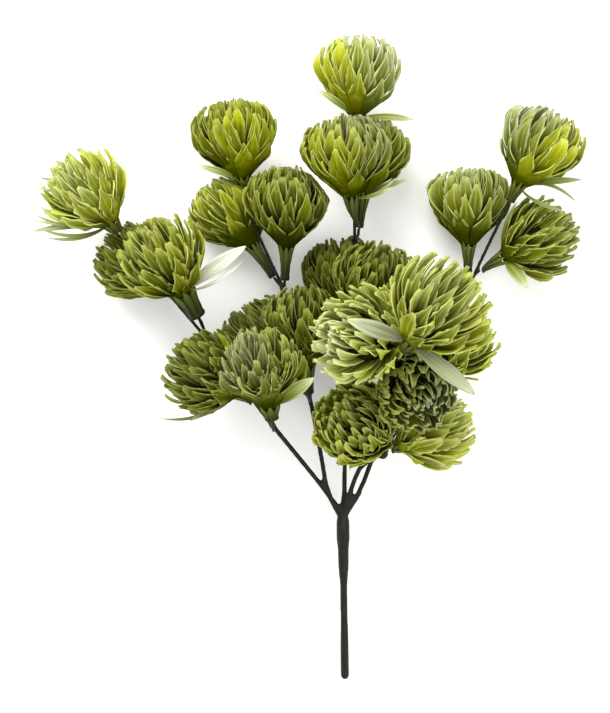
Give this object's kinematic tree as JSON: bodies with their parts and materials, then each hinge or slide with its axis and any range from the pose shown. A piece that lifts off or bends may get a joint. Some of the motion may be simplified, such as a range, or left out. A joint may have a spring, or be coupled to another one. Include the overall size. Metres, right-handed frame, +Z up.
{
  "type": "artificial pompon chrysanthemum spray",
  "caption": "Branching spray of green pompon chrysanthemums lying on its back: round heads of layered pointed petals on calyx sleeves, thin branches and one main stem.",
  "frame": {"origin": "on the surface that the spray lies on, under the middle of its bounding box", "axes": "+Y from the cut end of the main stem to the flowers, +X to the spray's right seen from above, +Z up, away from the surface"},
  "size_m": [0.2818, 0.3414, 0.1604],
  "materials": {
    "petals": "soft matte moulded petals, olive in the folds and pale lime at the tips",
    "calyx": "satin sage green moulded sleeves",
    "stem": "satin dark grey-green moulded stem"
  },
  "bodies": {
    "root": {"bloom_front_high_far": "petals", "bloom_front_high_near": "petals", "bloom_front_low_far": "petals", "bloom_front_low_near": "petals", "bloom_front_tip": "petals", "bloom_left_high_far": "petals", "bloom_left_high_near": "petals", "bloom_left_low_far": "petals", "bloom_left_low_near": "petals", "bloom_left_tip": "petals", "bloom_middle_left_high_far": "petals", "bloom_middle_left_high_near": "petals", "bloom_middle_left_low_far": "petals", "bloom_middle_left_low_near": "petals", "bloom_middle_left_tip": "petals", "bloom_middle_right_high_far": "petals", "bloom_middle_right_high_near": "petals", "bloom_middle_right_low_far": "petals", "bloom_middle_right_low_near": "petals", "bloom_middle_right_tip": "petals", "bloom_right_high_far": "petals", "bloom_right_high_near": "petals", "bloom_right_low_far": "petals", "bloom_right_low_near": "petals", "bloom_right_tip": "petals", "calyx_front_high_far": "calyx", "calyx_front_high_near": "calyx", "calyx_front_low_far": "calyx", "calyx_front_low_near": "calyx", "calyx_front_tip": "calyx", "calyx_left_high_far": "calyx", "calyx_left_high_near": "calyx", "calyx_left_low_far": "calyx", "calyx_left_low_near": "calyx", "calyx_left_tip": "calyx", "calyx_middle_left_high_far": "calyx", "calyx_middle_left_high_near": "calyx", "calyx_middle_left_low_far": "calyx", "calyx_middle_left_low_near": "calyx", "calyx_middle_left_tip": "calyx", "calyx_middle_right_high_far": "calyx", "calyx_middle_right_high_near": "calyx", "calyx_middle_right_low_far": "calyx", "calyx_middle_right_low_near": "calyx", "calyx_middle_right_tip": "calyx", "calyx_right_high_far": "calyx", "calyx_right_high_near": "calyx", "calyx_right_low_far": "calyx", "calyx_right_low_near": "calyx", "calyx_right_tip": "calyx", "stem": "stem"}
  },
  "joints": []
}
